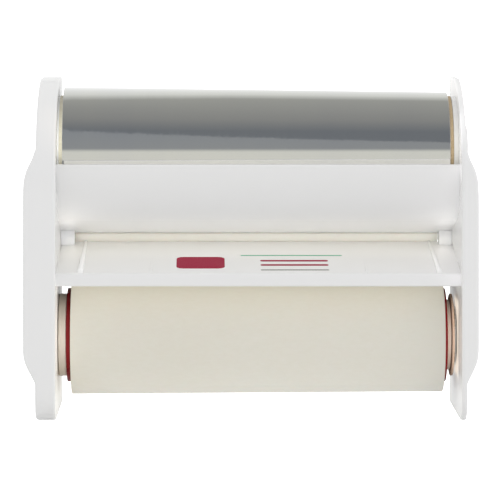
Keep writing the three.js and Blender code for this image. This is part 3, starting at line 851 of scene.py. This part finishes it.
p = ring("film_felt", 63.35, 64.85, 5.2, 8.9, FILM_Z, 0.3)
finish_piece(p, "frame", m_felt, ("film_brake_felt",))

# ---------------------------------------------------------------------------
# Liner roll
# ---------------------------------------------------------------------------
LX0, LX1 = -63.5, 63.5
p = wound("liner_wound", LX0, LX1, 15.08, 20.22, 19.4, LINER_Z, 0.3, 0.5, 33)
finish_piece(p, "liner_roll", m_liner, ("liner_winding",), 40)
p = ring("liner_tube", LX0, LX1, 13.0, 15.0, LINER_Z, 0.2)
finish_piece(p, "liner_roll", m_core, ("liner_core",))
p = lathe("liner_plug_left", fillet([(-67.88, 5.2), (-67.88, 14.1), (-65.18, 14.1), (-65.18, 12.92), (-53.0, 12.92), (-52.0, 11.92), (-52.0, 5.2)], [0.3, 0.4, 0.3, 0.2, 0.3, 0.3, 0.3], 4), LINER_Z)
finish_piece(p, "liner_roll", m_hub, ("liner_hub_left",))
p = lathe("liner_plug_right", fillet([(66.0, 5.2), (66.0, 12.0), (64.6, 12.0), (64.6, 12.92), (53.0, 12.92), (52.0, 11.92), (52.0, 5.2)], 0.25, 4), LINER_Z)
finish_piece(p, "liner_roll", m_hub, ("liner_hub_right",))


def red_flange(name, node, xa, xb, notch):
    r, n = 16.0, 220
    a0 = math.radians(180 + 42.6)
    pts = []
    for k in range(n):
        a = 2 * math.pi * k / n
        d = (a - a0 + math.pi) % (2 * math.pi) - math.pi
        cut = 0.0
        if notch and abs(d) < 0.055:
            cut = 1.3 * (math.cos(d / 0.055 * math.pi) + 1) / 2
        pts.append(((r - cut) * math.cos(a), LINER_Z + (r - cut) * math.sin(a)))
    hole = circle(0, LINER_Z, 13.0, 120)
    p = loft(name, [(ccw(pts), wall(xa, xb, 0.2, n=3)), (ccw(hole)[::-1], wall(xa, xb, 0.12, n=2))], along_x)
    return finish_piece(p, "liner_roll", m_red, (node,))


red_flange("flange_left", "red_flange_left", LX0 - 1.55, LX0 - 0.2, True)
red_flange("flange_right", "red_flange_right", LX1 + 0.08, LX1 + 1.0, False)
p = ring("liner_washer", 66.15, 66.95, 5.2, 14.0, LINER_Z, 0.2)
finish_piece(p, "frame", m_felt, ("liner_brake_washer",))


def wave_spring(name, node, mid, amplitude, thick, r0, r1, z):
    n, verts, faces = 180, [], []
    prof = [(-thick / 2, r0 + 0.08), (-thick / 2 + 0.08, r0), (thick / 2 - 0.08, r0), (thick / 2, r0 + 0.08), (thick / 2, r1 - 0.08), (thick / 2 - 0.08, r1), (-thick / 2 + 0.08, r1), (-thick / 2, r1 - 0.08)]
    m = len(prof)
    for k in range(n):
        a = 2 * math.pi * k / n
        x = mid + amplitude * math.cos(3 * a)
        verts += [(x + dx, r * math.cos(a), z + r * math.sin(a)) for dx, r in prof]
    for k in range(n):
        j = (k + 1) % n
        faces += [(k * m + i, k * m + (i + 1) % m, j * m + (i + 1) % m, j * m + i) for i in range(m)]
    return finish_piece(make(name, verts, faces), "frame", m_steel, (node,))


wave_spring("film_spring", "film_brake_spring", 65.62, 0.45, 0.35, 5.4, 8.4, FILM_Z)
wave_spring("liner_spring", "liner_brake_spring", 67.48, 0.22, 0.35, 5.6, 10.0, LINER_Z)


# ---------------------------------------------------------------------------
# Webs and pull tab
# ---------------------------------------------------------------------------
MEET = 1.35  # height at which the two webs lie together behind the slot


def web(name, node, roll_z, r, sign, x0, x1, mat, seed):
    """A thin sheet that hangs from its roll, turns at the slot and runs back to the pull tab, with a slight flutter."""
    t, bend, flat = 0.22, (2.2 if sign > 0 else 0.5), 0.03
    y = r + 0.4 + 0.04
    path = []
    for k in range(14):
        path.append((y + t / 2, roll_z + (MEET + sign * (flat + t + bend) - roll_z) * k / 14, 1.0, 0.0))
    cy, cz = y + t + bend, MEET + sign * (flat + t + bend)
    for k in range(13):
        a = k / 12 * math.pi / 2
        path.append((cy - math.cos(a) * (bend + t / 2), cz - sign * math.sin(a) * (bend + t / 2), math.cos(a), sign * math.sin(a)))
    for k in range(1, 6):
        path.append((cy + (31.0 - cy) * k / 5, MEET + sign * (flat + t / 2 + (0.17 if k > 1 else 0.0)), 0.0, sign * 1.0))
    rng = random.Random(seed)
    waves = [(rng.uniform(0.06, 0.22), rng.uniform(0, 6.28), rng.uniform(0.02, 0.05)) for _ in range(4)]
    nx, verts, faces = 64, [], []
    m = len(path)
    for side in (-0.5, 0.5):
        for i in range(nx + 1):
            x = x0 + (x1 - x0) * i / nx
            for k, (py, pz, ny, nz) in enumerate(path):
                s = math.sin(math.pi * min(1.0, k / 13))
                w = s * sum(a * math.sin(f * x + ph) for f, ph, a in waves) * 1.5
                d = t * side
                verts.append((x, py + ny * (d + w), pz + nz * (d + w)))
    layer = (nx + 1) * m
    for i in range(nx):
        for k in range(m - 1):
            a, b, c, d = i * m + k, (i + 1) * m + k, (i + 1) * m + k + 1, i * m + k + 1
            faces.append((a, b, c, d))
            faces.append((layer + a, layer + d, layer + c, layer + b))
    for i in range(nx):
        for k in (0, m - 1):
            a, b = i * m + k, (i + 1) * m + k
            faces.append((a, b, layer + b, layer + a))
    for k in range(m - 1):
        for i in (0, nx):
            a, b = i * m + k, i * m + k + 1
            faces.append((a, b, layer + b, layer + a))
    return finish_piece(make(name, verts, faces), "frame", mat, (node,))


web("film_sheet", "film_web", FILM_Z, 21.1, 1, FX0 + 0.3, FX1 - 0.3, m_web, 41)
web("liner_sheet", "liner_web", LINER_Z, 20.5, -1, LX0, LX1, m_liner, 43)
tab = ccw(fillet([(-58, 25.5), (58, 25.5), (58, 33), (52, 36), (-52, 36), (-58, 33)], [0.5, 0.5, 2, 2, 2, 2], 5))
p = slab("tab", tab, MEET - 0.15, MEET + 0.15, 0.06, along_z, holes=[ellipse(0, 30.4, 2.6, 2.6, 48)], n=2)
finish_piece(p, "frame", m_cream, ("pull_tab",))


# ---------------------------------------------------------------------------
# Stage: pale floor that sweeps up behind, and soft light from all round
# ---------------------------------------------------------------------------
def floor():
    mesh = bpy.data.meshes.new("floor")
    pts = [(-6.0, 0.0)] + [(2.0 + 1.0 * math.sin(a), 1.0 - 1.0 * math.cos(a)) for a in [math.pi / 2 * i / 16 for i in range(17)]] + [(3.0, 6.0)]
    verts, faces = [], []
    for y, z in pts:
        verts += [(-8.0, y, z - 0.00005), (8.0, y, z - 0.00005)]
    for i in range(len(pts) - 1):
        faces.append((2 * i, 2 * i + 1, 2 * i + 3, 2 * i + 2))
    mesh.from_pydata(verts, [], faces)
    mesh.shade_smooth()
    ob = bpy.data.objects.new("floor", mesh)
    scene.collection.objects.link(ob)
    mat = bpy.data.materials.new("floor_white")
    mat.use_nodes = True
    g = Graph(mat.node_tree)
    out = g.node("ShaderNodeOutputMaterial")
    diffuse = g.node("ShaderNodeBsdfDiffuse", {"Color": (0.86, 0.86, 0.86, 1)})
    glow = g.node("ShaderNodeEmission", {"Color": (1, 1, 1, 1), "Strength": FLOOR_GLOW})
    path = g.node("ShaderNodeLightPath")
    both = g.node("ShaderNodeAddShader")
    g.tree.links.new(diffuse.outputs[0], both.inputs[0])
    g.tree.links.new(glow.outputs[0], both.inputs[1])
    pick = g.node("ShaderNodeMixShader")
    g.put(pick.inputs[0], path.outputs["Is Camera Ray"])
    g.tree.links.new(diffuse.outputs[0], pick.inputs[1])
    g.tree.links.new(both.outputs[0], pick.inputs[2])
    g.tree.links.new(pick.outputs[0], out.inputs[0])
    mesh.materials.append(mat)
    ob.visible_glossy = False
    ob.visible_shadow = False


FLOOR_GLOW = 1.0
WORLD_LIGHT = 0.8985
floor()


def studio_world():
    """Even white light for matt surfaces. What the shiny film mirrors is a studio: white behind, grey overhead,
    a blue-grey front with a slanted edge, and pale below."""
    w = bpy.data.worlds.new("studio")
    scene.world = w
    w.use_nodes = True
    g = Graph(w.node_tree)
    out = g.node("ShaderNodeOutputWorld")
    way = g.node("ShaderNodeTexCoord").outputs["Generated"]
    xyz = g.node("ShaderNodeSeparateXYZ", {"Vector": way})
    dx, dy, dz = xyz.outputs
    phi = g.math("ARCTAN2", dz, g.math("MULTIPLY", dy, -1.0))
    deg = g.math("MULTIPLY", phi, 180 / math.pi)

    def at(d):
        return (d + 180) / 360

    k = 1 / 0.79

    def c(rgb):
        return scaled(linear(rgb), k)

    # the overhead card hangs a little askew, and the slanted edge in front bows slightly
    lean = g.math("MINIMUM", g.math("MAXIMUM", g.math("MULTIPLY", g.math("SUBTRACT", dx, 0.0095), 215.0), -9.0), 3.0)
    lean = g.math("MULTIPLY", lean, g.spread(deg, 84.0, 108.0, 0.0, 1.0, True))
    turn = g.math("DIVIDE", g.math("ADD", g.math("SUBTRACT", deg, lean), 180.0), 360.0)
    stripe = g.math("SINE", g.math("MULTIPLY", dx, 2 * math.pi / 0.00505))
    stripe = g.math("MULTIPLY", g.spread(stripe, 0.4, 1.0, 0.0, 0.16, True), g.spread(deg, 0.0, -4.0, 0.0, 1.0, True))
    cream, cream_low = c((197, 196, 188)), c((200, 198, 190))
    above = g.ramp(turn, [
        (at(-180), c((235, 235, 235))), (at(-25), cream_low), (at(-3.2), cream), (at(2.6), c((105, 108, 112))),
        (at(37), c((105, 108, 112))), (at(62), c((130, 130, 128))), (at(113), c((150, 150, 145))),
        (at(132), c((205, 205, 200))), (at(179.9), c((240, 240, 240))),
    ])
    below = g.ramp(turn, [
        (at(-180), c((235, 235, 235))), (at(-25), cream_low), (at(-3.2), cream), (at(2.6), c((135, 137, 138))),
        (at(40), c((130, 133, 137))), (at(113), c((150, 150, 145))), (at(179.9), c((240, 240, 240))),
    ])
    ox = g.math("SUBTRACT", dx, 0.0175)  # the roll is conical, so its mirror looks a little aside
    bow = g.math("MULTIPLY", g.math("MULTIPLY", ox, ox), 600.0)
    edge = g.math("ADD", g.math("SUBTRACT", 28.7, g.math("MULTIPLY", ox, 205.0)), bow)
    edge = g.math("MINIMUM", g.math("MAXIMUM", edge, 12.0), 44.0)
    side = g.spread(g.math("SUBTRACT", deg, edge), -0.8, 0.8, 0.0, 1.0, True)
    mirror = g.mix(stripe, g.mix(side, below, above), (1.0, 1.0, 0.98, 1.0))
    # towards the sides the studio is plain white
    flank = g.spread(g.math("ABSOLUTE", dx), 0.55, 0.85, 0.0, 1.0, True)
    mirror = g.mix(flank, mirror, c((236, 236, 236)))

    even = g.node("ShaderNodeBackground", {"Color": (1.0, 1.0, 1.0, 1.0), "Strength": WORLD_LIGHT})
    glossy = g.node("ShaderNodeBackground", {"Color": mirror, "Strength": 1.0})
    seen = g.node("ShaderNodeBackground", {"Color": (1, 1, 1, 1), "Strength": 1.05})
    path = g.node("ShaderNodeLightPath")
    m1 = g.node("ShaderNodeMixShader")
    g.put(m1.inputs[0], path.outputs["Is Glossy Ray"])
    g.tree.links.new(even.outputs[0], m1.inputs[1])
    g.tree.links.new(glossy.outputs[0], m1.inputs[2])
    m2 = g.node("ShaderNodeMixShader")
    g.put(m2.inputs[0], path.outputs["Is Camera Ray"])
    g.tree.links.new(m1.outputs[0], m2.inputs[1])
    g.tree.links.new(seen.outputs[0], m2.inputs[2])
    g.tree.links.new(m2.outputs[0], out.inputs[0])


studio_world()


def unseen(ob):
    ob.visible_camera = False
    ob.visible_glossy = False
    ob.visible_transmission = False
    return ob


def sky(name, toward, strength, colour=(1, 1, 1), spread=60):
    """A broad soft light from one side, as from a wall of white cards. toward: from the object to the light."""
    data = bpy.data.lights.new(name, "SUN")
    data.energy = strength
    data.angle = math.radians(spread)
    data.color = colour
    ob = bpy.data.objects.new(name, data)
    scene.collection.objects.link(ob)
    ob.location = Vector(toward).normalized() * 2
    ob.rotation_euler = Vector(toward).to_track_quat("Z", "Y").to_euler()
    return unseen(ob)


RECESS = {
    "card_guard": ["guard"],
    "card_tray_end": ["tray"],
    "card_block": ["slot_block_left", "slot_block_right"],
    "card_slot": ["liner_sheet", "film_sheet"],
    "card_gap_left_top": ["film_washer_cream", "film_plug_left"],
    "card_gap_right_top": ["film_washer_kraft", "film_plug_right"],
    "card_gap_right_mid": ["guard", "tray"],
    "card_gap_left_low": ["liner_plug_left", "flange_left"],
    "card_gap_right_low": ["liner_plug_right", "flange_right", "liner_washer", "liner_spring"],
    "card_wall_left": ["left_plate"],
    "card_wall_right": ["right_plate"],
    "card_film": ["film_wound"],
    "card_guides": ["tray_guide_0", "tray_guide_1"],
}


def card(name, centre, face, across, size, watts, colour=(1, 1, 1)):
    """A thin glowing card that lifts one recess. centre in drawing mm, face: where it shines, across: its long side.
    RECESS names the pieces that a card shines on, where that isn't everything."""
    data = bpy.data.lights.new(name, "AREA")
    data.shape = "RECTANGLE"
    data.size, data.size_y = size[0] * MM, size[1] * MM
    data.energy = watts
    data.color = colour
    ob = bpy.data.objects.new(name, data)
    scene.collection.objects.link(ob)
    ob.location = world(centre)
    z = -Vector(face).normalized()
    x = Vector(across).normalized()
    y = z.cross(x)
    ob.rotation_euler = Matrix((x, y, z)).transposed().to_euler()
    for key, pieces in RECESS.items():
        if name.startswith(key):
            only = bpy.data.collections.new(f"lit_by_{name}")
            for piece in pieces:
                only.objects.link(bpy.data.objects[piece])
            ob.light_linking.receiver_collection = only
    unseen(ob)
    ob.visible_glossy = name == "card_film"
    return ob


X, Y, Z = Vector((1, 0, 0)), Vector((0, 1, 0)), Vector((0, 0, 1))
LIGHTS = [
    sky("sky_right", (1, -0.3, 0.15), 0.379252, (1.000, 1.000, 1.000)),
    card("card_tray_front", (0, -17, 0.4), -Z, X, (132, 16), 0.000698, (1.000, 0.930, 0.772)),
    card("card_tray_back", (0, 5, 0.2), -Z, X, (132, 24), 0.002402, (1.000, 0.940, 0.762)),
    card("card_guard_back", (0, 4, 0.5), Z, X, (132, 24), 0.001972, (0.931, 0.949, 1.000)),
    card("card_tray_end_left", (-64.5, -8, 0.5), -Z, X, (5, 34), 0.000131, (1.000, 0.935, 0.683)),
    card("card_tray_end_right", (64.8, -8, 0.5), -Z, X, (5, 34), 0.000192, (1.000, 0.947, 0.960)),
    card("card_guard_end_left", (-65.2, -13, 1.0), Z, X, (4, 24), 0.000409, (1.000, 0.959, 0.902)),
    card("card_guard_end_right", (65.4, -13, 1.0), Z, X, (4, 24), 0.000383, (1.000, 0.997, 0.975)),
    card("card_slot", (0, 18.2, -0.2), Y, X, (128, 2.4), 0.001485, (0.969, 0.976, 1.000)),
    card("card_block_left", (-65.3, 7, -0.5), Y, X, (4.5, 3.5), 0.000096, (0.915, 0.930, 1.000)),
    card("card_block_right", (65.5, 7, -0.5), Y, X, (4.5, 3.5), 0.000096, (1.000, 0.997, 0.987)),
    card("card_guides", (0, -8, 9), -Z, X, (132, 30), 0.011000, (1.000, 0.984, 0.997)),
    card("card_liner", (0, -17.5, -13.4), -Z, X, (130, 19), 0.002839, (1.000, 0.958, 0.859)),
    card("card_gap_left_top", (-67.1, -24, 38), Y, Z, (34, 1.6), 0.000894, (0.975, 1.000, 0.981)),
    card("card_gap_right_top", (66.7, -23, 38), Y, Z, (34, 2.6), 0.000298, (1.000, 0.927, 0.738)),
    card("card_gap_right_mid", (66.9, -33.5, 7), Y, Z, (40, 2.2), 0.000281, (0.997, 0.934, 1.000)),
    card("card_gap_left_low", (-66.3, -27, -32), Y, Z, (44, 3.2), 0.002107, (0.863, 0.938, 1.000)),
    card("card_gap_right_low", (66.3, -27, -32), Y, Z, (44, 3.2), 0.002850, (1.000, 0.929, 0.940)),
    card("card_wall_left_top", (-66.8, -25.5, 41), -X, Z, (24, 12), 0.000129, (1.000, 0.805, 0.547)),
    card("card_wall_right_top", (66.6, -25, 38), X, Z, (30, 9), 0.000400, (0.995, 0.987, 1.000)),
    card("card_wall_right_back", (64.0, 4, 55), X, Y, (44, 8), 0.000500, (1.000, 0.971, 0.932)),
    card("card_wall_left_low", (-66.0, -6, -50), -X, Z, (14, 48), 0.000400, (1.000, 0.830, 0.394)),
    card("card_wall_left_mid", (-66.0, -23.5, -31), -X, Z, (40, 14), 0.001100, (1.000, 0.967, 0.865)),
    card("card_wall_right_low", (67.3, -7, -32), X, Z, (26, 18), 0.001395, (1.000, 0.943, 0.830)),
    card("card_film", (0, -22.6 * math.cos(math.radians(20)), FILM_Z - 22.6 * math.sin(math.radians(20))), (0, math.cos(math.radians(20)), math.sin(math.radians(20))), X, (131, 8.6), 0.001644, (1.000, 0.958, 0.874)),
    card("card_under", (0, -6, -57.8), Z, X, (130, 48), 0.005464, (0.847, 0.896, 1.000)),
]

scene.view_settings.view_transform = "Standard"
scene.view_settings.look = "None"
scene.view_settings.exposure = 0.0
scene.view_settings.gamma = 1.0


# ---------------------------------------------------------------------------
# Camera: level, with its lens shifted, so that upright edges stay parallel. The shift belongs to
# this one place: away from it a driver takes it back to nothing.
# ---------------------------------------------------------------------------
SHIFT = (45 / 500, -276 / 500)
cam_data = bpy.data.cameras.new("camera")
cam_data.sensor_width = 36.0
cam_data.lens = 3198 / 500 * 36.0
cam_data.clip_start, cam_data.clip_end = 0.01, 100.0
cam = bpy.data.objects.new("camera", cam_data)
scene.collection.objects.link(cam)
cam.location = world((-17.9, -1100.0, 91.8))
cam.rotation_euler = (math.pi / 2, 0.0, 0.0)
scene.camera = cam
stand = bpy.data.objects.new("camera_stand", None)
scene.collection.objects.link(stand)
stand.location = cam.location
stand.empty_display_size = 0.01
for channel, value in zip(("shift_x", "shift_y"), SHIFT):
    setattr(cam_data, channel, value)
    curve = cam_data.driver_add(channel)
    for m in list(curve.modifiers):
        curve.modifiers.remove(m)
    curve.driver.type = "SUM"
    var = curve.driver.variables.new()
    var.type = "LOC_DIFF"
    var.targets[0].id = cam
    var.targets[1].id = stand
    while len(curve.keyframe_points):
        curve.keyframe_points.remove(curve.keyframe_points[0])
    for at, to in ((0.0, value), (0.015, value), (0.03, 0.0)):
        curve.keyframe_points.insert(at, to).interpolation = "LINEAR"
    curve.extrapolation = "CONSTANT"
    curve.update()
